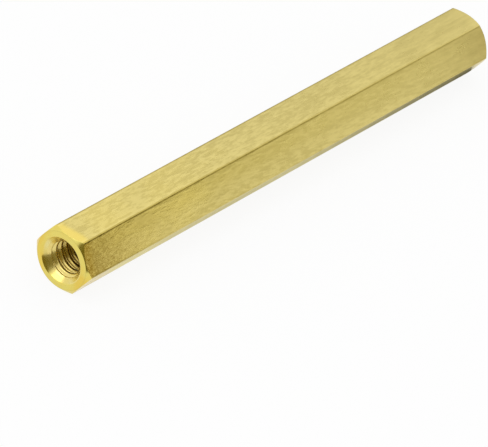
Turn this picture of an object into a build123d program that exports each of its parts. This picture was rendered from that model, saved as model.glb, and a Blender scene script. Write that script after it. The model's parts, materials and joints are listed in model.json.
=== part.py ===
from build123d import *

import math
import os

# Drawn hexagonal bar, lying along X on one of its flats
across_flats = 6.35
body_length = 63.5
bar_edge_radius = 0.15

# Turned chamfer that cuts the six corners back at each end
chamfer_angle = 40.0
chamfer_bite = 0.06

# Size of the thread in each end
thread_major_dia = 4.17
thread_pitch = 0.794
tap_drill_dia = 3.45

# Depth of the full thread, and the turns of lead that the tap needs below it
full_thread_depth = 9.5
tap_lead_turns = 3.0

# Countersink at the mouth of each hole, and the point that the drill leaves at its bottom
countersink_angle = 90.0
countersink_margin = 0.42
drill_point_angle = 118.0

# Space left between a cutting profile and the metal that it doesn't touch
tool_clearance = 1.0


def hexagonal_bar() -> Part:
    """The bar as drawn: a hexagon with slightly rounded corners, flats up and down."""
    section = Plane.YZ * RegularPolygon(across_flats / 2, 6, major_radius=False)
    section = fillet(section.vertices(), bar_edge_radius)
    return extrude(section, body_length / 2, both=True)


def turned_envelope() -> Part:
    """The round shape that the two end chamfers leave of the bar's corners."""
    end_face_radius = across_flats / 2 - chamfer_bite
    outer_radius = across_flats / math.sqrt(3) + tool_clearance
    chamfer_depth = (outer_radius - end_face_radius) * math.tan(math.radians(chamfer_angle))
    half_length = body_length / 2
    half_profile = Plane.XZ * Polyline(
        (-half_length, 0),
        (-half_length, end_face_radius),
        (-half_length + chamfer_depth, outer_radius),
        (half_length - chamfer_depth, outer_radius),
        (half_length, end_face_radius),
        (half_length, 0),
        close=True,
    )
    return revolve(make_face(half_profile), Axis.X)


def threaded_end_hole() -> Part:
    """One blind hole at the +X end: countersink, tap drill bore and drill point."""
    bore_radius = tap_drill_dia / 2
    mouth_radius = thread_major_dia / 2 + countersink_margin
    countersink_slope = math.tan(math.radians(countersink_angle / 2))
    countersink_depth = (mouth_radius - bore_radius) / countersink_slope
    bore_depth = full_thread_depth + tap_lead_turns * thread_pitch
    point_depth = bore_radius / math.tan(math.radians(drill_point_angle / 2))
    end_x = body_length / 2
    half_profile = Plane.XZ * Polyline(
        (end_x + tool_clearance, 0),
        (end_x + tool_clearance, mouth_radius + tool_clearance * countersink_slope),
        (end_x - countersink_depth, bore_radius),
        (end_x - bore_depth, bore_radius),
        (end_x - bore_depth - point_depth, 0),
        close=True,
    )
    return revolve(make_face(half_profile), Axis.X)


def hex_standoff() -> Part:
    """The whole standoff, its lowest flat on the plane Z = 0 and its middle at the origin."""
    end_hole = threaded_end_hole()
    body = hexagonal_bar() & turned_envelope()
    body = body - end_hole - mirror(end_hole, Plane.YZ)
    return Pos(0, 0, across_flats / 2) * body


os.makedirs("parts", exist_ok=True)
export_step(hex_standoff(), "parts/standoff_body.step")
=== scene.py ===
"""Looks of a brass hex standoff, a hexagonal bar with a turned and threaded end on each side.

The bar is one closed mesh, made of rings of points that run from the bottom of one threaded hole, out
over its end and along the bar, to the bottom of the hole in the other end. All lengths are in metres.
"""

from __future__ import annotations

import json
import logging
import math
from dataclasses import dataclass, field
from enum import Enum, IntEnum
from typing import Any, Mapping, NamedTuple, Union

import bpy
import numpy as np
from mathutils import Matrix, Vector

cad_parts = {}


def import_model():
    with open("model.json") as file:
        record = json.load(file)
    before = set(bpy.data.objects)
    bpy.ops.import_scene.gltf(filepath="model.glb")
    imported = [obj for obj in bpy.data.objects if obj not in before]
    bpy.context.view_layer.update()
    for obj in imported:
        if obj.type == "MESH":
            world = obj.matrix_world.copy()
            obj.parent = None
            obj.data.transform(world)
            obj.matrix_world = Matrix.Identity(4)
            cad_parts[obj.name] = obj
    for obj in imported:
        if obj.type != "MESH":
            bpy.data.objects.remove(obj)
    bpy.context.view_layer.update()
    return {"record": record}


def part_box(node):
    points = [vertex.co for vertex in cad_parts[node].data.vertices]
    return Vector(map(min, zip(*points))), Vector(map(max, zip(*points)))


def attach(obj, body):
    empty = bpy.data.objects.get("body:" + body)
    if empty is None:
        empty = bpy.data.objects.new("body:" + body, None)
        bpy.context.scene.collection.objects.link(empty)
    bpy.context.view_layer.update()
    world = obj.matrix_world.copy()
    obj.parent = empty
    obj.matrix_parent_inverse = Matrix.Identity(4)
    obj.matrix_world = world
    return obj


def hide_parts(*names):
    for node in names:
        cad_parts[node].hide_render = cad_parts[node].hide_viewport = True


LOG = logging.getLogger("hex_standoff")

MM = 0.001
BODY_NODE = "standoff_body"
BODY_PIECE = "standoff_body_turned"

# How far the turned chamfer bites into the flats
CHAMFER_BITE = 0.06 * MM

Colour = tuple[float, float, float]
Span = tuple[float, float]
Value = Union["Link", float]


class Zone(IntEnum):
    """The finishes of the standoff's surface, in the order of its material slots."""

    DRAWN = 0
    TURNED = 1
    THREADED = 2


class BarEnd(Enum):
    """The two ends of the bar. The value is the sign of X at that end."""

    LEFT = -1
    RIGHT = 1

    def spin(self, angle: np.ndarray) -> np.ndarray:
        """Turns an angle about the bar into the angle that a person facing this end would measure."""
        return angle if self is BarEnd.LEFT else math.pi - angle


class Link:
    """One output of a shader node, which takes part in arithmetic."""

    def __init__(self, graph: "ShaderGraph", socket: bpy.types.NodeSocket) -> None:
        """Keeps the socket and the graph that new nodes go into.

        Args:
            graph: The graph that holds the socket's node.
            socket: The output socket.
        """
        self.graph = graph
        self.socket = socket

    def __add__(self, other: Value) -> "Link":
        """Adds a value or another output."""
        return self.graph.math("ADD", self, other)

    def __radd__(self, other: Value) -> "Link":
        """Adds this output to a value."""
        return self.graph.math("ADD", other, self)

    def __sub__(self, other: Value) -> "Link":
        """Takes a value or another output away."""
        return self.graph.math("SUBTRACT", self, other)

    def __rsub__(self, other: Value) -> "Link":
        """Takes this output away from a value."""
        return self.graph.math("SUBTRACT", other, self)

    def __mul__(self, other: Value) -> "Link":
        """Multiplies by a value or another output."""
        return self.graph.math("MULTIPLY", self, other)

    def __rmul__(self, other: Value) -> "Link":
        """Multiplies a value by this output."""
        return self.graph.math("MULTIPLY", other, self)

    def __truediv__(self, other: Value) -> "Link":
        """Divides by a value or another output."""
        return self.graph.math("DIVIDE", self, other)

    def __pow__(self, other: Value) -> "Link":
        """Raises to a power."""
        return self.graph.math("POWER", self, other)

    def clamped(self) -> "Link":
        """Keeps the value between 0 and 1."""
        return self.graph.math("ADD", self, 0.0, use_clamp=True)

    def ramp(self, low: float, high: float) -> "Link":
        """Rises smoothly from 0 at low to 1 at high.

        Args:
            low: The value that gives 0.
            high: The value that gives 1.

        Returns:
            The smoothed value.
        """
        settings = {"interpolation_type": "SMOOTHSTEP"}
        values = {"Value": self, "From Min": low, "From Max": high}
        return self.graph.add("ShaderNodeMapRange", settings, values)["Result"]

    def between(self, at_zero: float, at_one: float) -> "Link":
        """Gives at_zero where this value is 0 and at_one where it is 1."""
        return self * (at_one - at_zero) + at_zero


class Node:
    """A shader node whose outputs are read by name."""

    def __init__(self, graph: "ShaderGraph", node: bpy.types.Node) -> None:
        """Keeps the node and its graph.

        Args:
            graph: The graph that holds the node.
            node: The node itself.
        """
        self.graph = graph
        self.node = node

    def __getitem__(self, name: str) -> Link:
        """Gives the enabled output of that name."""
        found = [s for s in self.node.outputs if s.name == name and s.enabled]
        return Link(self.graph, found[0])


class ShaderGraph:
    """The node tree of a material or of the world, with one method that adds any node."""

    def __init__(self, tree: bpy.types.NodeTree) -> None:
        """Starts with an empty tree.

        Args:
            tree: The node tree, which is cleared.
        """
        self.tree = tree
        tree.nodes.clear()

    def add(self, kind: str, settings: Mapping[str, Any] | None = None,
            values: Mapping[str | int, Any] | None = None) -> Node:
        """Adds a node.

        Args:
            kind: The node's type, such as ShaderNodeTexNoise.
            settings: The node's own properties, which are set first.
            values: What its input sockets hold, by name or index: a number, a colour or a Link.

        Returns:
            The node.
        """
        node = self.tree.nodes.new(kind)
        for name, setting in (settings or {}).items():
            setattr(node, name, setting)
        for name, value in (values or {}).items():
            if isinstance(name, int):
                socket = node.inputs[name]
            else:
                socket = next(s for s in node.inputs if s.name == name and s.enabled)
            if isinstance(value, Link):
                self.tree.links.new(value.socket, socket)
            else:
                socket.default_value = value
        return Node(self, node)

    def math(self, operation: str, first: Value, second: Value, use_clamp: bool = False) -> Link:
        """Adds a Math node.

        Args:
            operation: The Math node's operation.
            first: Its first input.
            second: Its second input.
            use_clamp: Whether the result is kept between 0 and 1.

        Returns:
            The result.
        """
        settings = {"operation": operation, "use_clamp": use_clamp}
        return self.add("ShaderNodeMath", settings, {0: first, 1: second})["Value"]

    def blend(self, share: Value, first: Union[Link, Colour], second: Union[Link, Colour]) -> Link:
        """Mixes two colours.

        Args:
            share: How much of the second colour shows, from 0 to 1.
            first: The colour at 0.
            second: The colour at 1.

        Returns:
            The mixed colour.
        """
        values = {
            "Factor": share,
            "A": first if isinstance(first, Link) else (*first, 1.0),
            "B": second if isinstance(second, Link) else (*second, 1.0),
        }
        return self.add("ShaderNodeMix", {"data_type": "RGBA"}, values)["Result"]

    def noise(self, place: Link, detail: float = 2.0, roughness: float = 0.5, scale: float = 1.0) -> Link:
        """Adds smooth noise with values around one half.

        Args:
            place: Where the noise is read, with one unit for one blotch.
            detail: How many finer octaves are added.
            roughness: How strong the finer octaves are.
            scale: How many blotches one unit holds.

        Returns:
            The noise.
        """
        values = {"Vector": place, "Scale": scale, "Detail": detail, "Roughness": roughness}
        return self.add("ShaderNodeTexNoise", {"noise_dimensions": "3D"}, values)["Fac"]

    def place(self, x: Value, y: Value, z: Value) -> Link:
        """Joins three coordinates to a point."""
        return self.add("ShaderNodeCombineXYZ", None, {"X": x, "Y": y, "Z": z})["Vector"]


class Lean(NamedTuple):
    """A share that changes evenly along the bar.

    Attributes:
        middle: The share at the bar's middle.
        fall: How much less it is at the right end, and how much more at the left one.
    """

    middle: float
    fall: float

    def at(self, from_middle: Link) -> Link:
        """Gives the share at a place that is -1 at the left end and 1 at the right end."""
        return self.middle - from_middle * self.fall


@dataclass(frozen=True)
class Brass:
    """What the three finishes share.

    Attributes:
        name: The material's name.
        colour: The metal's main colour.
        deep: The colour in its deeper, more yellow patches.
        roughness: The mean roughness.
        axis_height: Height of the bar's axis above the floor.
        metallic: How much of the surface is bare metal.
        rough_spread: How much the roughness wanders about its mean.
    """

    name: str
    colour: Colour
    deep: Colour
    roughness: float
    axis_height: float
    metallic: float = field(default=1.0, kw_only=True)
    rough_spread: float = field(default=0.1, kw_only=True)

    def material(self) -> bpy.types.Material:
        """Builds the material.

        Returns:
            The material, with its nodes.
        """
        material = bpy.data.materials.new(self.name)
        material.use_nodes = True
        graph = ShaderGraph(material.node_tree)
        colour, roughness, normal = self.surface(graph)
        shader = graph.add("ShaderNodeBsdfPrincipled", None, {
            "Base Color": colour,
            "Metallic": self.metallic,
            "Roughness": roughness,
            "Normal": normal,
        })
        graph.add("ShaderNodeOutputMaterial", None, {"Surface": shader["BSDF"]})
        return material

    def surface(self, graph: ShaderGraph) -> tuple[Link, Link, Link]:
        """Gives the colour, roughness and normal. Each finish has its own."""
        raise NotImplementedError

    def coordinates(self, graph: ShaderGraph) -> tuple[Link, Link, Link, Link]:
        """Reads the place on the bar.

        Args:
            graph: The material's graph.

        Returns:
            The point itself, and its X, Y and Z in metres.
        """
        point = graph.add("ShaderNodeTexCoord")["Object"]
        parts = graph.add("ShaderNodeSeparateXYZ", None, {"Vector": point})
        return point, parts["X"], parts["Y"], parts["Z"]

    def from_axis(self, graph: ShaderGraph, y: Link, z: Link) -> Link:
        """Measures the distance from the bar's axis.

        Args:
            graph: The material's graph.
            y: The Y coordinate.
            z: The Z coordinate.

        Returns:
            The distance in metres.
        """
        rise = z - self.axis_height
        return (y * y + rise * rise) ** 0.5

    def bump(self, graph: ShaderGraph, height: Link, depth: float) -> Link:
        """Turns a height map into a bumped normal.

        Args:
            graph: The material's graph.
            height: The height, mostly from 0 to 1.
            depth: The real height of one unit.

        Returns:
            The normal.
        """
        values = {"Strength": 1.0, "Distance": depth, "Height": height}
        return graph.add("ShaderNodeBump", None, values)["Normal"]


@dataclass(frozen=True)
class FlatPlace:
    """Where on the bar's flats a point lies.

    Attributes:
        point: The point itself, in metres.
        x: Its X.
        y: Its Y.
        z: Its Z.
        from_middle: Its place along the bar, -1 at the left end and 1 at the right end.
        from_end: Its distance from the nearer end.
        height: Its height above the floor, 1 at the bar's axis and 2 at the top flat.
        on_top: 1 on the top flat and 0 on the others.
    """

    point: Link
    x: Link
    y: Link
    z: Link
    from_middle: Link
    from_end: Link
    height: Link
    on_top: Link


@dataclass(frozen=True)
class DrawnBrass(Brass):
    """The flats as they come from the drawing die, with fine lines along the bar and a mottled grain.

    Heights are measured in heights of the bar's axis, so that they end at 2, on the top flat. Light and
    shade are also painted into the colour: shade on the flats below the top one, dark reflections along the
    long edges, and highlights on the clean ends and beside the top edges.

    Attributes:
        clean_and_highlight: The colour of clean brass beside each turned end, with a painted highlight in
            it.
        side_shade: The painted shade, a darker, more yellow colour on all flats but the top one.
        edge: The colour of the painted dark reflection along the bar's long edges.
        edge_glint: The colour of the painted highlight beside a top edge.
        half_length: Half of the bar's length.
        line_width: Width of one drawing line.
        line_length: Length of one drawing line.
        line_lean: How far a line leaves the bar's direction, as a slope.
        line_weight: How much the lines change the tone.
        line_rise: Height of the lines, in units of bump_depth.
        grain_size: Size of the mottled grain.
        grain_weight: How much the grain changes the tone.
        grain_rise: Height of the grain, in units of bump_depth.
        fine_roughness: How strong the finer octaves of the lines and the grain are.
        bump_depth: The unit of height of the lines and the grain.
        marks: How strong the lines and the grain are.
        side_marks: How much stronger they are off the top flat.
        band_width: Width of the broad, faint bands along the bar.
        band_length: Length of one band.
        band_weight: How much the bands change the tone.
        stain_size: Size of the broad changes of tone.
        stain_weight: How much they change it.
        land_length: Length of the land at each end, clean brass with a painted highlight.
        land_span: Where the land fades out, in land lengths.
        land_fray: How much the grain frays its edge, 1 for as much as the stains move it.
        land_clean_and_highlight: How much the land shows the clean brass and its painted highlight.
        land_off_top: How much of the land and its painted highlight is left below top_highlight_span.
        top_highlight_span: Heights between which the land and its painted highlight come out in full.
        fade_length: Length from the left end over which a painted highlight in the fresh colour fades out.
        fade_weight: How much it shows there.
        fade_start: Distances from an end over which it comes in, on the top flat.
        fade_left: How much of it is left beside that end.
        clean_gloss: How much smoother the clean brass is.
        top_span: Heights between which the surface turns into the top flat.
        side_shade_span: Heights over which the painted shade comes up.
        side_shade_weights: How much of it shows below and above them.
        side_shade_lean: How much of that is left along the bar.
        edge_inner: Distance from a long edge at which its colour starts to fade.
        edge_outer: Distance at which that colour is gone.
        edge_dark: How dark the painted reflection along the edges is.
        edge_on_top: How much of that is left on the top flat.
        upper_span: Heights over which the edges turn fully dark.
        lower_span: Distances from an end over which the lower edges turn paler.
        lower_weights: How dark they are at the end, and away from it.
        glint_outer: Distance at which the painted highlight beside a top edge is gone.
        glint_weight: How much that line shows.
    """

    clean_and_highlight: Colour
    side_shade: Colour
    edge: Colour
    edge_glint: Colour
    half_length: float
    line_width: float = 0.29 * MM
    line_length: float = 1.3 * MM
    line_lean: float = 0.12
    line_weight: float = 5.3
    line_rise: float = 1.3
    grain_size: float = 0.3 * MM
    grain_weight: float = 1.5
    grain_rise: float = 0.1
    fine_roughness: float = 0.6
    bump_depth: float = 0.02 * MM
    marks: Lean = Lean(0.7, 0.54)
    side_marks: float = 1.25
    band_width: float = 0.8 * MM
    band_length: float = 12.0 * MM
    band_weight: float = 1.7
    stain_size: float = 4.0 * MM
    stain_weight: float = 1.5
    land_length: float = 1.05 * MM
    land_span: Span = (0.6, 1.4)
    land_fray: float = 0.3
    land_clean_and_highlight: Lean = Lean(0.42, 0.37)
    land_off_top: float = 0.45
    top_highlight_span: Span = (1.86, 1.99)
    fade_length: float = 26.0 * MM
    fade_weight: float = 0.3
    fade_start: Span = (1.0 * MM, 5.0 * MM)
    fade_left: float = 0.4
    clean_gloss: float = 0.15
    top_span: Span = (1.985, 1.999)
    side_shade_span: Span = (1.2, 1.8)
    side_shade_weights: Span = (0.3, 0.7)
    side_shade_lean: Lean = Lean(0.58, 0.42)
    edge_inner: float = 0.07 * MM
    edge_outer: float = 0.2 * MM
    edge_dark: Lean = Lean(0.68, 0.34)
    edge_on_top: float = 0.4
    upper_span: Span = (1.0, 1.6)
    lower_span: Span = (3.0 * MM, 14.0 * MM)
    lower_weights: Span = (0.75, 0.2)
    glint_outer: float = 0.45 * MM
    glint_weight: Lean = Lean(0.16, 0.14)

    def where(self, graph: ShaderGraph) -> FlatPlace:
        """Reads the place on the flats.

        Args:
            graph: The material's graph.

        Returns:
            The place.
        """
        point, x, y, z = self.coordinates(graph)
        height = z / self.axis_height
        return FlatPlace(
            point, x, y, z,
            from_middle=x / self.half_length,
            from_end=self.half_length - graph.math("ABSOLUTE", x, 0.0),
            height=height,
            on_top=height.ramp(*self.top_span),
        )

    def from_edge(self, graph: ShaderGraph, spot: FlatPlace) -> Link:
        """Measures the distance from the nearest of the bar's six long edges.

        Each pair of opposite edges lies in a plane through the bar's axis.

        Args:
            graph: The material's graph.
            spot: The place on the flats.

        Returns:
            The distance in metres.
        """
        rise = spot.z - self.axis_height
        nearest: Value = 1.0
        for turn in (0.0, 60.0, 120.0):
            angle = math.radians(turn)
            off = graph.math("ABSOLUTE", spot.y * math.sin(angle) - rise * math.cos(angle), 0.0)
            nearest = graph.math("MINIMUM", nearest, off)
        return nearest

    def drawing_lines(self, graph: ShaderGraph, spot: FlatPlace) -> Link:
        """Draws the fine lines that the die leaves.

        Args:
            graph: The material's graph.
            spot: The place on the flats.

        Returns:
            The lines, with values around 0.
        """
        leaning_z = spot.z + spot.x * self.line_lean
        stretched = graph.place(
            spot.x / self.line_length, spot.y / self.line_width, leaning_z / self.line_width,
        )
        return graph.noise(stretched, roughness=self.fine_roughness) - 0.5

    def broad_bands(self, graph: ShaderGraph, spot: FlatPlace) -> Link:
        """Draws the broad, faint bands along the bar.

        Args:
            graph: The material's graph.
            spot: The place on the flats.

        Returns:
            The bands, with values around 0.
        """
        stretched = graph.place(
            spot.x / self.band_length, spot.y / self.band_width, spot.z / self.band_width,
        )
        return graph.noise(stretched) - 0.5

    def clean_and_highlight_share(self, spot: FlatPlace, grain: Link, stain: Link) -> Link:
        """Works out how much of the clean colour and its painted highlight shows.

        Args:
            spot: The place on the flats.
            grain: The mottled grain.
            stain: The broad changes of tone.

        Returns:
            The share, from 0 to 1.
        """
        # The land: partly clean brass, partly a painted highlight, strongest on the top flat.
        wobbled = spot.from_end + (grain * self.land_fray + stain) * self.land_length
        land = 1.0 - wobbled.ramp(*(share * self.land_length for share in self.land_span))
        land = land * spot.height.ramp(*self.top_highlight_span).between(self.land_off_top, 1.0)
        # Painted highlight that fades out from the left end.
        from_left = spot.x + self.half_length + stain * self.fade_length
        fade = 1.0 - from_left.ramp(0.0, self.fade_length)
        held = (1.0 - spot.from_end.ramp(*self.fade_start)) * spot.on_top
        fade = fade * held.between(1.0, self.fade_left)
        return (land * self.land_clean_and_highlight.at(spot.from_middle) + fade * self.fade_weight).clamped()

    def side_shade_share(self, spot: FlatPlace) -> Link:
        """Gives how much of the painted shade shows."""
        rising = spot.height.ramp(*self.side_shade_span).between(*self.side_shade_weights)
        return (1.0 - spot.on_top) * rising * self.side_shade_lean.at(spot.from_middle)

    def edge_shade_share(self, spot: FlatPlace, off_edge: Link) -> Link:
        """Works out how much of the painted dark reflection shows along the long edges.

        Args:
            spot: The place on the flats.
            off_edge: The distance from the nearest long edge.

        Returns:
            The share, from 0 to 1.
        """
        upper = spot.height.ramp(*self.upper_span)
        lower = spot.from_end.ramp(*self.lower_span).between(*self.lower_weights)
        weight = upper + (1.0 - upper) * lower
        weight = weight * spot.on_top.between(1.0, self.edge_on_top)
        along = 1.0 - off_edge.ramp(self.edge_inner, self.edge_outer)
        return along * weight * self.edge_dark.at(spot.from_middle)

    def glint_share(self, spot: FlatPlace, off_edge: Link) -> Link:
        """Works out how much the painted highlight beside a top edge shows.

        Args:
            spot: The place on the flats.
            off_edge: The distance from the nearest long edge.

        Returns:
            The share, from 0 to 1.
        """
        rise = off_edge.ramp(self.edge_inner, self.edge_outer)
        fall = off_edge.ramp(self.edge_outer, self.glint_outer)
        return (rise - fall) * spot.on_top * self.glint_weight.at(spot.from_middle)

    def surface(self, graph: ShaderGraph) -> tuple[Link, Link, Link]:
        """Draws the lines, the grain and the broad stains, and paints in light and shade: highlights on the
        clean ends and beside the top edges, shade on the lower flats and dark reflections along the edges.

        Args:
            graph: The material's graph.

        Returns:
            The colour, roughness and normal.
        """
        spot = self.where(graph)
        lines = self.drawing_lines(graph, spot)
        bands = self.broad_bands(graph, spot)
        grain = graph.noise(spot.point, roughness=self.fine_roughness, scale=1.0 / self.grain_size) - 0.5
        stain = graph.noise(spot.point, scale=1.0 / self.stain_size) - 0.5
        strength = self.marks.at(spot.from_middle) * spot.on_top.between(self.side_marks, 1.0)
        fine = (lines * self.line_weight + grain * self.grain_weight) * strength
        tone = stain * self.stain_weight + bands * self.band_weight + fine + 0.5
        metal = graph.blend(tone.clamped(), self.deep, self.colour)
        # Painted shade: the flats below the top one are darker and more yellow.
        side_shaded_metal = graph.blend(self.side_shade_share(spot), metal, self.side_shade)
        clean = self.clean_and_highlight_share(spot, grain, stain)
        off_edge = self.from_edge(graph, spot)
        # Clean ends, partly clean brass and partly a painted highlight.
        clean_and_highlit = graph.blend(clean, side_shaded_metal, self.clean_and_highlight)
        # Painted highlight in a thin line beside the top edges.
        glinted = graph.blend(self.glint_share(spot, off_edge), clean_and_highlit, self.edge_glint)
        # Painted dark reflection along the long edges, strongest at the left end.
        colour = graph.blend(self.edge_shade_share(spot, off_edge), glinted, self.edge)
        roughness = self.roughness + (stain + grain) * self.rough_spread - clean * self.clean_gloss
        height = (lines * self.line_rise + grain * self.grain_rise) * strength
        return colour, roughness, self.bump(graph, height, self.bump_depth)


@dataclass(frozen=True)
class TurnedBrass(Brass):
    """The end faces, chamfers and countersinks, with the rings that the turning tool leaves.

    Attributes:
        rim_radius: Radius of the edge between the end face and the chamfer.
        sink_radius: Radius of the countersink at the end face.
        sink: The colour inside it.
        sink_highlight: A painted highlight inside it, at its two sides that face each other across
            highlight_angle.
        sink_span: Where the countersink's colour ends, in units of sink_radius.
        sink_rough: How much rougher the countersink is.
        highlight_angle: Direction from one highlighted side to the other.
        highlight_span: Where the painted highlight comes in, as the cosine of the angle from that
            direction.
        rim_width: Width of the darker line along the end face's edge.
        rim: The colour of that line.
        rim_weight: How much the line shows.
        ring_pitch: Distance between tool marks.
        ring_weight: How much the tool marks change the tone.
        ring_wander: How far the tool marks stray with the changes of tone.
        ring_roughness: How strong their finer octaves are.
        bump_depth: Height of the tool marks.
        patch_size: Size of the broad changes of tone.
        patch_weight: How much they change it.
    """

    rim_radius: float
    sink_radius: float
    sink: Colour = (0.79, 0.65, 0.20)
    # Painted highlight at two opposite sides of the countersink.
    sink_highlight: Colour = (0.83, 0.73, 0.30)
    sink_span: Span = (0.94, 1.02)
    sink_rough: float = 0.09
    highlight_angle: float = math.radians(27.0)
    highlight_span: Span = (0.8, 1.0)
    rim_width: float = 0.09 * MM
    rim: Colour = (0.5, 0.4, 0.1)
    rim_weight: float = 0.3
    ring_pitch: float = 0.09 * MM
    ring_weight: float = 0.6
    ring_wander: float = 3.0
    ring_roughness: float = 0.6
    bump_depth: float = 0.0007 * MM
    patch_size: float = 1.8 * MM
    patch_weight: float = 2.4

    def surface(self, graph: ShaderGraph) -> tuple[Link, Link, Link]:
        """Draws the tool marks round the bar's axis, the rim's line and the countersink's tone, with a
        painted highlight at two of its sides.

        Args:
            graph: The material's graph.

        Returns:
            The colour, roughness and normal.
        """
        point, _, y, z = self.coordinates(graph)
        reach = self.from_axis(graph, y, z)
        patches = graph.noise(point, scale=1.0 / self.patch_size)
        turns = graph.place(reach / self.ring_pitch + patches, patches * self.ring_wander, 0.0)
        rings = graph.noise(turns, roughness=self.ring_roughness)
        tone = (patches - 0.5) * self.patch_weight + (rings - 0.5) * self.ring_weight + 0.5
        metal = graph.blend(tone.clamped(), self.deep, self.colour)
        off_rim = graph.math("ABSOLUTE", reach - self.rim_radius, 0.0)
        line = (1.0 - off_rim.ramp(0.0, self.rim_width)) * self.rim_weight
        inside = 1.0 - (reach / self.sink_radius).ramp(*self.sink_span)
        # Painted highlight at two opposite sides of the countersink.
        sideways = y * math.cos(self.highlight_angle) + (z - self.axis_height) * math.sin(self.highlight_angle)
        highlight_share = (graph.math("ABSOLUTE", sideways, 0.0) / reach).ramp(*self.highlight_span)
        sink = graph.blend(highlight_share, self.sink, self.sink_highlight)
        colour = graph.blend(inside, graph.blend(line, metal, self.rim), sink)
        roughness = self.roughness + (patches - 0.5) * self.rough_spread + inside * self.sink_rough
        return colour, roughness, self.bump(graph, rings, self.bump_depth)


@dataclass(frozen=True)
class ThreadBrass(Brass):
    """The thread and the drilled wall, with marks along the cut and a duller tone painted deeper in the
    hole as shade.

    Attributes:
        dull: The darker colour painted deep in the hole as shade.
        half_length: Half of the bar's length.
        mouth_depth: Depth at which the painted shade starts to dull the thread.
        dull_depth: Depth at which it is fully dull.
        mark_size: Size of the tap's marks.
        bump_depth: Height of those marks.
    """

    dull: Colour
    half_length: float
    mouth_depth: float = 1.0 * MM
    dull_depth: float = 3.6 * MM
    mark_size: float = 0.3 * MM
    bump_depth: float = 0.0003 * MM

    def surface(self, graph: ShaderGraph) -> tuple[Link, Link, Link]:
        """Draws the tap's marks and the shade painted deeper in the hole.

        Args:
            graph: The material's graph.

        Returns:
            The colour, roughness and normal.
        """
        point, x, _, _ = self.coordinates(graph)
        marks = graph.noise(point, scale=1.0 / self.mark_size)
        from_end = self.half_length - graph.math("ABSOLUTE", x, 0.0)
        # Painted shade: the thread turns darker deeper in the hole.
        depth = from_end.ramp(self.mouth_depth, self.dull_depth)
        clean = graph.blend(marks, self.deep, self.colour)
        colour = graph.blend(depth, clean, self.dull)
        roughness = self.roughness + (marks - 0.5) * self.rough_spread
        return colour, roughness, self.bump(graph, marks, self.bump_depth)


def ring_at(depth: Any, radius: Any, angle: np.ndarray) -> np.ndarray:
    """Puts points on a ring round the bar's axis.

    Args:
        depth: Depth below the end face, one number or one for each point.
        radius: Distance from the axis, one number or one for each point.
        angle: The angle of each point.

    Returns:
        The points as (depth, y, z) from the axis.
    """
    depth = np.broadcast_to(depth, angle.shape)
    return np.stack([depth, radius * np.cos(angle), radius * np.sin(angle)], axis=1)


def rings_round(first: np.ndarray, corner: np.ndarray, last: np.ndarray,
                steps: int = 4) -> list[np.ndarray]:
    """Rounds a corner.

    Args:
        first: Points before the corner.
        corner: The corner's points.
        last: Points after the corner.
        steps: Steps round it.

    Returns:
        The rings round the corner, the first and the last with them.
    """
    shares = np.linspace(0.0, 1.0, steps + 1)
    return [(1 - t) ** 2 * first + 2 * t * (1 - t) * corner + t ** 2 * last for t in shares]


def rings_between(first: np.ndarray, last: np.ndarray, count: int) -> list[np.ndarray]:
    """Makes rings at even distances between two rings, which are left out.

    Args:
        first: Points of the first ring.
        last: Points of the last ring.
        count: How many rings are made.

    Returns:
        The rings.
    """
    shares = np.linspace(0.0, 1.0, count + 2)[1:-1]
    return [first * (1 - share) + last * share for share in shares]


@dataclass
class HexSection:
    """The bar's cross-section, as points round the axis.

    Attributes:
        across_flats: Distance between opposite flats.
        edge_radius: Radius of the drawn bar's long edges.
        crown: How far each flat falls away from its middle to its edges.
        crown_power: How much of that falls away close to the edges.
        arc_steps: Steps round each edge.
        flat_steps: Steps across the middle of each flat.
        hold: Distance from an edge to the first point of the flat.
    """

    across_flats: float
    edge_radius: float = 0.15 * MM
    crown: float = 0.02 * MM
    crown_power: int = 3
    arc_steps: int = 6
    flat_steps: int = 22
    hold: float = 0.05 * MM

    def points(self) -> np.ndarray:
        """Goes once round the section.

        Returns:
            The points as (y, z) from the axis, counterclockwise as seen from the right end.
        """
        centre_reach = (self.across_flats / 2 - self.edge_radius - self.crown) / math.cos(math.pi / 6)
        hold_share = self.hold / centre_reach
        even = np.linspace(0.0, 1.0, self.flat_steps + 1)[1:-1]
        shares = np.concatenate([[hold_share], even, [1 - hold_share]])
        rise = self.crown * (1 - np.abs(2 * shares - 1) ** self.crown_power)
        outline = []
        for corner in range(6):
            angle = corner * math.pi / 3
            centre = centre_reach * np.array([math.cos(angle), math.sin(angle)])
            for turn in np.linspace(angle - math.pi / 6, angle + math.pi / 6, self.arc_steps + 1):
                out = np.array([math.cos(turn), math.sin(turn)])
                outline.append(centre + self.edge_radius * out)
            along = np.array([-out[1], out[0]])
            start = outline[-1]
            for share, lift in zip(shares, rise):
                outline.append(start + centre_reach * share * along + lift * out)
        return np.array(outline)


Band = tuple[np.ndarray, Zone]


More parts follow.
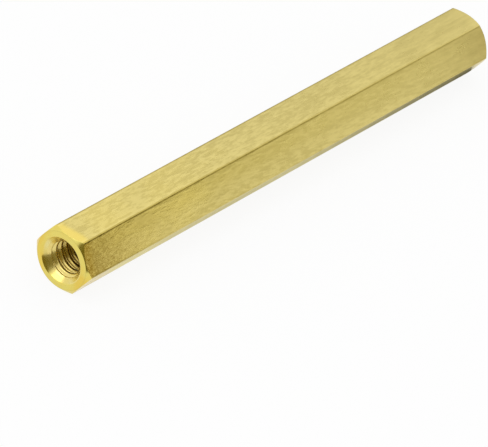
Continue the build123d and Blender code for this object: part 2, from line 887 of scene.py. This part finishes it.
@dataclass
class ThreadedHole:
    """One countersunk and tapped blind hole. Depths are measured in from the end face.

    Attributes:
        bore_radius: Radius of the tap drill, which is the thread's crest.
        countersink_depth: Depth at which the countersink meets the bore.
        bore_depth: Depth of the drill's shoulder.
        root_radius: Radius of the thread's root.
        pitch: Distance from turn to turn.
        thread_depth: Depth of the full thread.
        start: Angle of the first turn, in turns.
        point_angle: Half angle of the drill point.
        point_shares: Radii of the rings on the drill point, as shares of the bore's.
        flank_slope: Half of the thread's width for each unit of its height.
        corner_round: Half of the depth over which the thread's corners are smoothed.
        corner_samples: Places over which they are.
        bright_depth: Depth down to which the wall is as bright as the countersink.
        fine_step: Distance between rings in the part of the wall that shows.
        fine_depth: Depth at which that part ends.
        coarse_step: Distance between rings below it.
        lip_round: Rounding of the countersink's edge.
        lip_clearance: Depth of the first ring below the lip, in units of lip_round.
        run_out: How far the countersink stands off the bar's axis.
        run_out_angle: The direction in which it does.
        mouth_margin: How much wider its edge is than the solid's, from wear.
    """

    bore_radius: float
    countersink_depth: float
    bore_depth: float
    root_radius: float = 2.085 * MM
    pitch: float = 0.794 * MM
    thread_depth: float = 9.5 * MM
    start: float = 0.68
    point_angle: float = math.radians(59.0)
    point_shares: tuple[float, ...] = (0.04, 0.3, 0.6, 0.85, 0.97)
    flank_slope: float = math.tan(math.radians(30.0))
    corner_round: float = 0.082 * MM
    corner_samples: int = 5
    bright_depth: float = 0.42 * MM
    fine_step: float = 0.034 * MM
    fine_depth: float = 3.6 * MM
    coarse_step: float = 0.1 * MM
    lip_round: float = 0.08 * MM
    lip_clearance: float = 1.15
    run_out: float = 0.12 * MM
    run_out_angle: float = math.radians(-30.0)
    mouth_margin: float = 0.01 * MM

    def point_depth(self) -> float:
        """Gives the height of the drill point."""
        return self.bore_radius / math.tan(self.point_angle)

    def mouth(self, angle: np.ndarray) -> np.ndarray:
        """Measures the countersink's edge, whose side slopes at 45 degrees.

        Args:
            angle: Angles round the bar's axis.

        Returns:
            The edge's distance from the axis at each angle.
        """
        radius = self.bore_radius + self.countersink_depth + self.mouth_margin
        return radius + self.run_out * np.cos(angle - self.run_out_angle)

    def depths(self) -> np.ndarray:
        """Gives the depths of the rings on the wall, from the drill's shoulder to just below the lip."""
        fine = np.arange(self.lip_round * self.lip_clearance, self.fine_depth, self.fine_step)
        coarse = np.arange(self.fine_depth, self.bore_depth, self.coarse_step)
        return np.concatenate([fine, coarse, [self.bore_depth]])[::-1]

    def groove(self, depth: float, angle: np.ndarray) -> np.ndarray:
        """Measures how deep the thread is cut.

        The groove has a flat root, an eighth of the pitch wide, and straight flanks.

        Args:
            depth: Depth of the ring.
            angle: Angles round it.

        Returns:
            The share of the thread's height at each angle, 1 at the root.
        """
        root_half = self.pitch / 16
        flank = (self.root_radius - self.bore_radius) * self.flank_slope
        total = np.zeros_like(angle)
        shifts = np.linspace(-self.corner_round, self.corner_round, self.corner_samples)
        for shift in shifts:
            turn = (depth + shift) / self.pitch - angle / (2 * math.pi) - self.start
            off = np.abs(turn - np.floor(turn) - 0.5) * self.pitch
            total += np.clip((root_half + flank - off) / flank, 0.0, 1.0)
        fade = np.clip((self.thread_depth + self.pitch - depth) / self.pitch, 0.0, 1.0)
        return total / len(shifts) * fade

    def radius(self, depth: float, angle: np.ndarray) -> np.ndarray:
        """Gives the wall's radius, where the thread or the countersink has cut deepest.

        Args:
            depth: Depth of the ring.
            angle: Angles round it.

        Returns:
            The radius at each angle.
        """
        thread = self.bore_radius + self.groove(depth, angle) * (self.root_radius - self.bore_radius)
        countersink = self.mouth(angle) - depth
        return np.maximum(thread, countersink)

    def bands(self, side: BarEnd, angle: np.ndarray) -> list[Band]:
        """Makes the rings of the hole, from its bottom out to the outer edge of its rounded lip.

        Args:
            side: The end of the bar that it is in.
            angle: The angle of each point of a ring.

        Returns:
            Each ring as (depth, y, z) points, with the finish of the band before it.
        """
        made = []
        for share in self.point_shares:
            depth = self.bore_depth + self.point_depth() * (1 - share)
            made.append((ring_at(depth, self.bore_radius * share, angle), Zone.THREADED))
        seen_angle = side.spin(angle)
        for depth in self.depths():
            zone = Zone.THREADED if depth > self.bright_depth else Zone.TURNED
            made.append((ring_at(depth, self.radius(depth, seen_angle), angle), zone))
        mouth = self.mouth(seen_angle)
        before = ring_at(self.lip_round, mouth - self.lip_round, angle)
        lip = ring_at(0.0, mouth, angle)
        after = ring_at(0.0, mouth + self.lip_round, angle)
        made += [(ring, Zone.TURNED) for ring in rings_round(before, lip, after)]
        return made


@dataclass
class TurnedEnd:
    """The faced and chamfered end of the bar.

    Attributes:
        face_radius: Radius of the end face, just inside the flats.
        chamfer_slope: Depth of the chamfer for each unit of radius.
        edge_round: Largest rounding of the chamfer's edges.
        round_share: That rounding's largest share of the chamfer's width.
        face_rings: Rings between the countersink's lip and the edge of the end face.
        chamfer_rings: Rings across the chamfer.
        land_steps: Distances of the first rings on the flats from the chamfer's edge.
    """

    face_radius: float
    chamfer_slope: float = math.tan(math.radians(40.0))
    edge_round: float = 0.015 * MM
    round_share: float = 0.3
    face_rings: int = 5
    chamfer_rings: int = 3
    land_steps: tuple[float, ...] = (0.04 * MM, 0.12 * MM, 0.4 * MM)

    def bands(self, lip: np.ndarray, reach: np.ndarray, angle: np.ndarray) -> list[Band]:
        """Makes the rings of the end face, the chamfer and the start of the flats.

        Args:
            lip: The last ring of the hole.
            reach: Distance of each point of the bar's section from the axis.
            angle: The angle of each of those points.

        Returns:
            Each ring as (depth, y, z) points, with the finish of the band before it.
        """
        width = reach - self.face_radius
        depth = width * self.chamfer_slope
        length = np.hypot(width, depth)
        soft = np.minimum(self.edge_round, self.round_share * length)
        step = soft / length
        stop = 1 - step
        face_edge = ring_at(0.0, self.face_radius - soft, angle)
        crest = ring_at(0.0, self.face_radius, angle)
        cone_start = ring_at(depth * step, self.face_radius + width * step, angle)
        cone_end = ring_at(depth * stop, self.face_radius + width * stop, angle)
        corner = ring_at(depth, reach, angle)
        flat_start = ring_at(depth + soft, reach, angle)
        turned = [
            *rings_between(lip, face_edge, self.face_rings),
            *rings_round(face_edge, crest, cone_start),
            *rings_between(cone_start, cone_end, self.chamfer_rings),
            *rings_round(cone_end, corner, flat_start),
        ]
        land = [ring_at(depth + soft + gap, reach, angle) for gap in self.land_steps]
        return [(ring, Zone.TURNED) for ring in turned] + [(ring, Zone.DRAWN) for ring in land]


@dataclass
class Standoff:
    """The whole piece as one closed mesh.

    Attributes:
        low: Lowest corner of the solid's box.
        high: Highest corner of the solid's box.
        section: The bar's cross-section.
        end: The turned end.
        hole: The threaded hole.
        body_rings: Rings along the flats, between the two ends.
        crowding: How much closer together they are near the ends, from 0 to 1.
    """

    low: Vector
    high: Vector
    section: HexSection
    end: TurnedEnd
    hole: ThreadedHole
    body_rings: int = 59
    crowding: float = 0.35

    def centre(self) -> Vector:
        """Gives the centre of the solid's box."""
        return (self.low + self.high) / 2

    def placed(self, ring: np.ndarray, side: BarEnd) -> np.ndarray:
        """Moves a ring of one end to its place on the bar.

        Args:
            ring: The ring as (depth, y, z) points.
            side: Which end.

        Returns:
            The ring as (x, y, z) points.
        """
        centre = self.centre()
        end_x = self.low.x if side is BarEnd.LEFT else self.high.x
        x = end_x - side.value * ring[:, 0]
        return np.stack([x, centre.y + ring[:, 1], centre.z + ring[:, 2]], axis=1)

    def end_bands(self, side: BarEnd) -> list[Band]:
        """Makes the rings of one end, from the bottom of its hole to the start of its flats.

        Args:
            side: Which end.

        Returns:
            Each ring as (x, y, z) points, with the finish of the band before it.
        """
        outline = self.section.points()
        reach = np.hypot(outline[:, 0], outline[:, 1])
        outer_angle = np.unwrap(np.arctan2(outline[:, 1], outline[:, 0]))
        count = len(outline)
        inner_angle = outer_angle[0] + np.arange(count) * 2 * math.pi / count
        hole = self.hole.bands(side, inner_angle)
        lip = hole[-1][0]
        end = self.end.bands(lip, reach, outer_angle)
        return [(self.placed(ring, side), zone) for ring, zone in hole + end]

    def body_shares(self) -> np.ndarray:
        """Gives the places of the rings along the flats, closer together near the ends."""
        even = np.linspace(-1.0, 1.0, self.body_rings + 2)[1:-1]
        eased = np.sin(even * math.pi / 2)
        return (eased * self.crowding + even * (1 - self.crowding) + 1) / 2

    def build(self) -> bpy.types.Object:
        """Builds the closed mesh, from the left hole's bottom to the right one's.

        Returns:
            The object, at the origin.
        """
        left = self.end_bands(BarEnd.LEFT)
        right = self.end_bands(BarEnd.RIGHT)
        first = left[-1][0]
        last = right[-1][0]
        flats = [(first * (1 - share) + last * share, Zone.DRAWN) for share in self.body_shares()]
        bands = left + flats + [(last, Zone.DRAWN)]
        inwards = right[::-1]
        for (_, zone), (ring, _) in zip(inwards, inwards[1:]):
            bands.append((ring, zone))
        return self.mesh_object(bands)

    def tips(self) -> np.ndarray:
        """Gives the tips of the two drill points."""
        centre = self.centre()
        depth = self.hole.bore_depth + self.hole.point_depth()
        return np.array([[x, centre.y, centre.z] for x in (self.low.x + depth, self.high.x - depth)])

    def mesh_object(self, bands: list[Band]) -> bpy.types.Object:
        """Joins the rings to a mesh and closes both hole bottoms.

        Args:
            bands: All rings in order, with the finish of the band before each.

        Returns:
            The object.
        """
        rings = [ring for ring, _ in bands]
        count = len(rings[0])
        points = np.concatenate([*rings, self.tips()])
        faces, zones = [], []
        for row in range(len(rings) - 1):
            near, far = row * count, (row + 1) * count
            for column in range(count):
                following = (column + 1) % count
                faces.append((near + column, far + column, far + following, near + following))
                zones.append(int(bands[row + 1][1]))
        left_tip = len(points) - 2
        right_tip = len(points) - 1
        last_row = (len(rings) - 1) * count
        for column in range(count):
            following = (column + 1) % count
            faces.append((left_tip, column, following))
            faces.append((right_tip, last_row + following, last_row + column))
            zones += [int(Zone.THREADED)] * 2
        mesh = bpy.data.meshes.new(BODY_PIECE)
        mesh.from_pydata(points.tolist(), [], faces)
        mesh.polygons.foreach_set("material_index", zones)
        mesh.polygons.foreach_set("use_smooth", [True] * len(faces))
        mesh.update()
        body = bpy.data.objects.new(BODY_PIECE, mesh)
        bpy.context.scene.collection.objects.link(body)
        return body


@dataclass(frozen=True)
class PhotoCamera:
    """The camera of the photograph.

    Attributes:
        aim: The point in the middle of the picture.
        distance: Distance to that point.
        azimuth: Direction of view, in degrees, 0 along +Y.
        elevation: Height of the camera, in degrees.
        roll: Turn of the picture, in degrees.
        lens: Focal length in millimetres.
        sensor: Width of the sensor in millimetres.
        seen_span: Distances between which things show.
    """

    aim: Vector = Vector((-11.92, -6.80, 3.18)) * MM
    distance: float = 598.29 * MM
    azimuth: float = -58.220
    elevation: float = 36.449
    roll: float = 14.384
    lens: float = 447.69
    sensor: float = 36.0
    seen_span: Span = (0.01, 10.0)

    def build(self) -> None:
        """Adds the camera and makes it the scene's own."""
        turn, rise, roll = (math.radians(a) for a in (self.azimuth, self.elevation, self.roll))
        back = Vector((math.sin(turn) * math.cos(rise), -math.cos(turn) * math.cos(rise), math.sin(rise)))
        level = Vector((math.cos(turn), math.sin(turn), 0.0))
        upright = back.cross(level)
        right = level * math.cos(roll) + upright * math.sin(roll)
        up = upright * math.cos(roll) - level * math.sin(roll)
        data = bpy.data.cameras.new("photo_camera")
        data.sensor_width = self.sensor
        data.lens = self.lens
        data.clip_start, data.clip_end = self.seen_span
        camera = bpy.data.objects.new("photo_camera", data)
        rotation = Matrix((right, up, back)).transposed().to_4x4()
        camera.matrix_world = Matrix.Translation(self.aim + back * self.distance) @ rotation
        bpy.context.scene.collection.objects.link(camera)
        bpy.context.scene.camera = camera


@dataclass(frozen=True)
class Softbox:
    """One soft area lamp that points at the bar.

    Attributes:
        name: The lamp's name.
        azimuth: Direction from the bar to the lamp, in degrees, 0 along +X.
        elevation: How high it stands above the bar, in degrees.
        distance: Its distance from the bar.
        width: Width of its face.
        height: Height of its face.
        radiance: How bright its face is, 1 for white.
        lean: How far the side toward a larger azimuth is turned up, in degrees.
    """

    name: str
    azimuth: float
    elevation: float
    distance: float
    width: float
    height: float
    radiance: float
    lean: float = 0.0

    def build(self) -> None:
        """Adds the lamp."""
        turn, rise = math.radians(self.azimuth), math.radians(self.elevation)
        towards = Vector((math.cos(turn) * math.cos(rise), math.sin(turn) * math.cos(rise), math.sin(rise)))
        data = bpy.data.lights.new(self.name, "AREA")
        data.shape = "RECTANGLE"
        data.size = self.width
        data.size_y = self.height
        data.energy = self.radiance * math.pi * self.width * self.height
        lamp = bpy.data.objects.new(self.name, data)
        facing = towards.to_track_quat("Z", "Y").to_matrix().to_4x4()
        turned = facing @ Matrix.Rotation(math.radians(self.lean), 4, "Z")
        lamp.matrix_world = Matrix.Translation(towards * self.distance) @ turned
        bpy.context.scene.collection.objects.link(lamp)


@dataclass(frozen=True)
class Card:
    """A card beside the bar that shows only in the metal.

    Attributes:
        name: The card's name.
        start: Where its left side stands, as X and Y. On a mat, where its far side starts.
        end: Where its right side stands. On a mat, where its far side ends.
        colour: Its colour.
    """

    name: str
    start: tuple[float, float]
    end: tuple[float, float]
    colour: Colour = field(default=(0.2, 0.17, 0.05), kw_only=True)

    def corners(self) -> list[tuple[float, float, float]]:
        """Gives its four corners. Each kind of card has its own."""
        raise NotImplementedError

    def build(self) -> None:
        """Adds the card."""
        material = bpy.data.materials.new(self.name)
        material.use_nodes = True
        graph = ShaderGraph(material.node_tree)
        dull = graph.add("ShaderNodeEmission", None, {"Color": (*self.colour, 1.0), "Strength": 1.0})
        graph.add("ShaderNodeOutputMaterial", None, {"Surface": dull["Emission"]})
        mesh = bpy.data.meshes.new(self.name)
        mesh.from_pydata(self.corners(), [], [(0, 1, 2, 3)])
        mesh.materials.append(material)
        card = bpy.data.objects.new(self.name, mesh)
        card.visible_camera = False
        card.visible_diffuse = False
        card.visible_shadow = False
        bpy.context.scene.collection.objects.link(card)


@dataclass(frozen=True)
class StandingCard(Card):
    """A card that stands upright.

    Attributes:
        bottom: Heights of its lower corners, left and right.
        top: Heights of its upper corners.
    """

    bottom: tuple[float, float] = (0.0, 0.0)
    top: tuple[float, float] = (0.33, 0.33)

    def corners(self) -> list[tuple[float, float, float]]:
        """Places the corners.

        Returns:
            The corners, the lower two first.
        """
        return [
            (*self.start, self.bottom[0]),
            (*self.end, self.bottom[1]),
            (*self.end, self.top[1]),
            (*self.start, self.top[0]),
        ]


@dataclass(frozen=True)
class Mat(Card):
    """A mat that lies just above the floor.

    Attributes:
        near_start: Where its near side starts, as X and Y.
        near_end: Where its near side ends.
        height: Its height above the floor.
    """

    near_start: tuple[float, float]
    near_end: tuple[float, float]
    height: float = 0.0005

    def corners(self) -> list[tuple[float, float, float]]:
        """Gives its corners, the far two first."""
        return [(*place, self.height) for place in (self.start, self.end, self.near_end, self.near_start)]


@dataclass(frozen=True)
class Studio:
    """The white floor, the even light all round, the softboxes, the cards and the mats of painted contact
    shadow.

    Attributes:
        floor_radius: Radius of the floor.
        floor_sides: Sides of its outline.
        floor_colour: Its own colour, which takes the bar's shadow.
        floor_glow: Share of plain white that the camera sees on it.
        floor_mirror_glow: Share of plain white that shows in the metal.
        world_level: Strength of the even light.
        contact_mats: How many mats of painted contact shadow lie along the bar's lower edge.
        contact_places: Places along the bar at which their grey is given.
        contact_greys: The grey at each of these places, from the left to the right.
        contact_blue: How much of the grey their blue has.
        contact_far: Y of their far side, under the bar.
        contact_near: Y of their near side, at the second of the places.
        contact_spread: How much wider a mat gets with each unit of darkness.
        contact_height: Their height above the floor.
    """

    floor_radius: float = 3.0
    floor_sides: int = 96
    floor_colour: Colour = (0.9, 0.9, 0.9)
    floor_glow: float = 0.9
    floor_mirror_glow: float = 0.8
    world_level: float = 0.95
    contact_mats: int = 20
    contact_places: tuple[float, ...] = (-0.026, -0.012, 0.0015, 0.032)
    contact_greys: tuple[float, ...] = (0.9, 0.74, 0.71, 0.15)
    contact_blue: float = 0.8
    contact_far: float = -0.0005
    contact_near: float = -0.0035
    contact_spread: float = 0.0012
    contact_height: float = 0.0002

    def build(self) -> None:
        """Adds the floor, the world, the cards and the lamps."""
        self.floor()
        self.world()
        cards = self.cards_round_bar() + self.cards_beside_bar()
        for item in (*cards, *self.lamps(), *self.contact_shadow_mats()):
            item.build()

    def cards_round_bar(self) -> list[Card]:
        """Stands the large cards round the bar, which darken its near flats and the turned ends.

        Returns:
            The cards.
        """
        return [
            StandingCard("low_card", (-0.48, 0.017), (-0.475, -0.067), top=(0.16, 0.2)),
            StandingCard("left_card", (-0.478, -0.063), (-0.309, -0.355), top=(0.37, 0.35)),
            StandingCard("camera_card", (-0.309, -0.355), (0.015, -0.447)),
            StandingCard("right_card", (0.015, -0.447), (0.40, -0.24), (0.0, 0.15), (0.33, 0.30)),
        ]

    def cards_beside_bar(self) -> list[Card]:
        """Puts the smaller cards and a mat beside and behind the bar, which darken parts of its flats. The
        near and far cards are painted shade, seen only in the front flat near each end.

        Returns:
            The cards.
        """
        return [
            # Painted shade in the front flat near the left end.
            StandingCard(
                "near_card", (-0.035, -0.041), (-0.001, -0.033),
                top=(0.022, 0.014), colour=(0.3, 0.22, 0.05),
            ),
            # Painted shade in the front flat near the right end.
            StandingCard(
                "far_card", (0.063, -0.034), (0.085, -0.026),
                top=(0.012, 0.014), colour=(0.35, 0.3, 0.15),
            ),
            Mat(
                "floor_mat", (-0.478, -0.063), (-0.1, -0.42),
                near_start=(-0.041, 0.003), near_end=(-0.0365, -0.0125),
            ),
            StandingCard(
                "back_card", (0.25, 0.06), (0.10, 0.12),
                top=(0.112, 0.085), colour=(0.4, 0.37, 0.3),
            ),
        ]

    def contact_shadow_mats(self) -> list[Card]:
        """Lays the mats of painted contact shadow along the bar's lower edge; they show only in the metal
        and darken towards the right end.

        Returns:
            The mats, from the left to the right.
        """
        left, right = self.contact_places[0], self.contact_places[-1]
        edges = np.linspace(left, right, self.contact_mats + 1).tolist()
        mats = []
        for index, (start, end) in enumerate(zip(edges, edges[1:])):
            grey = float(np.interp((start + end) / 2, self.contact_places, self.contact_greys))
            near = self.contact_near - self.contact_spread * (self.contact_greys[1] - grey)
            # Painted contact shadow, seen only in the metal.
            mats.append(Mat(
                f"contact_shadow_mat_{index}", (start, self.contact_far), (end, self.contact_far),
                near_start=(start, near), near_end=(end, near), height=self.contact_height,
                colour=(grey, grey, grey * self.contact_blue),
            ))
        return mats

    def lamps(self) -> list[Softbox]:
        """Gives the lamps."""
        return [
            Softbox("key_softbox", 148.0, 42.5, 0.7, 0.57, 0.13, 1.5, lean=18.0),
            Softbox("back_softbox", 5.0, 50.0, 0.8, 0.3, 0.3, 0.5),
        ]

    def floor(self) -> None:
        """Adds the round floor."""
        material = bpy.data.materials.new("floor_white")
        material.use_nodes = True
        graph = ShaderGraph(material.node_tree)
        matt = graph.add("ShaderNodeBsdfDiffuse", None, {"Color": (*self.floor_colour, 1.0)})
        white = graph.add("ShaderNodeEmission", None, {"Color": (1.0, 1.0, 1.0, 1.0), "Strength": 1.0})
        path = graph.add("ShaderNodeLightPath")
        seen = path["Is Camera Ray"] * self.floor_glow
        mirrored = (path["Is Glossy Ray"] + path["Is Transmission Ray"]) * self.floor_mirror_glow
        share = (seen + mirrored).clamped()
        both = graph.add("ShaderNodeMixShader", None, {0: share, 1: matt["BSDF"], 2: white["Emission"]})
        graph.add("ShaderNodeOutputMaterial", None, {"Surface": both["Shader"]})
        angles = np.linspace(0.0, 2 * math.pi, self.floor_sides + 1)[:-1]
        points = [(self.floor_radius * math.cos(a), self.floor_radius * math.sin(a), 0.0) for a in angles]
        mesh = bpy.data.meshes.new("floor")
        mesh.from_pydata(points, [], [tuple(range(len(points)))])
        mesh.materials.append(material)
        floor = bpy.data.objects.new("floor", mesh)
        bpy.context.scene.collection.objects.link(floor)

    def world(self) -> None:
        """Sets the even light, with pure white where the camera or a mirror shows it."""
        world = bpy.data.worlds.new("studio")
        bpy.context.scene.world = world
        world.use_nodes = True
        graph = ShaderGraph(world.node_tree)
        path = graph.add("ShaderNodeLightPath")
        seen = path["Is Camera Ray"] + path["Is Glossy Ray"] + path["Is Transmission Ray"]
        strength = seen.clamped().between(self.world_level, 1.0)
        white = (1.0, 1.0, 1.0, 1.0)
        glow = graph.add("ShaderNodeBackground", None, {"Color": white, "Strength": strength})
        graph.add("ShaderNodeOutputWorld", None, {"Surface": glow["Background"]})


def hole_from_record(record: Mapping[str, Any], half_length: float) -> ThreadedHole:
    """Reads the threaded hole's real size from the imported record.

    Args:
        record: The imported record.
        half_length: Half of the bar's length.

    Returns:
        The hole.
    """
    mount = next(m for m in record["mounts"] if m["name"] == "thread_right")
    wall_length = mount["dims"]["length_mm"] * MM
    middle_depth = half_length - mount["pos_m"][0]
    return ThreadedHole(
        bore_radius=mount["dims"]["r_mm"] * MM,
        countersink_depth=middle_depth - wall_length / 2,
        bore_depth=middle_depth + wall_length / 2,
    )


def main() -> None:
    """Builds the standoff, dresses it and lights it."""
    logging.basicConfig(level=logging.INFO)
    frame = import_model()
    low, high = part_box(BODY_NODE)
    across_flats = high.z - low.z
    axis_height = (low.z + high.z) / 2
    half_length = (high.x - low.x) / 2
    face_radius = across_flats / 2 - CHAMFER_BITE
    hole = hole_from_record(frame["record"], half_length)
    standoff = Standoff(
        low=low,
        high=high,
        section=HexSection(across_flats),
        end=TurnedEnd(face_radius),
        hole=hole,
    )
    body = standoff.build()
    finishes = (
        DrawnBrass(
            "drawn_brass", (0.76, 0.64, 0.235), (0.62, 0.515, 0.175), 0.3, axis_height,
            # Painted light in these colours: aged is painted shade, edge a painted dark reflection, shine
            # and part of fresh painted highlights.
            clean_and_highlight=(0.93, 0.73, 0.17), side_shade=(0.62, 0.49, 0.10), edge=(0.36, 0.27, 0.05),
            edge_glint=(0.98, 0.84, 0.36), half_length=half_length,
        ),
        TurnedBrass(
            "turned_brass", (0.78, 0.68, 0.175), (0.80, 0.58, 0.10), 0.16, axis_height,
            rim_radius=face_radius,
            sink_radius=hole.bore_radius + hole.countersink_depth,
        ),
        ThreadBrass(
            "thread_brass", (0.85, 0.72, 0.28), (0.79, 0.61, 0.16), 0.2, axis_height,
            # dull is shade painted deep in the hole.
            dull=(0.46, 0.33, 0.08), half_length=half_length, metallic=0.92,
        ),
    )
    for finish in finishes:
        body.data.materials.append(finish.material())
    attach(body, "root")
    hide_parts(BODY_NODE)
    LOG.info("%s: %d faces", body.name, len(body.data.polygons))
    Studio().build()
    PhotoCamera().build()
    bpy.context.scene.view_settings.view_transform = "Standard"


if __name__ == "__main__":
    main()
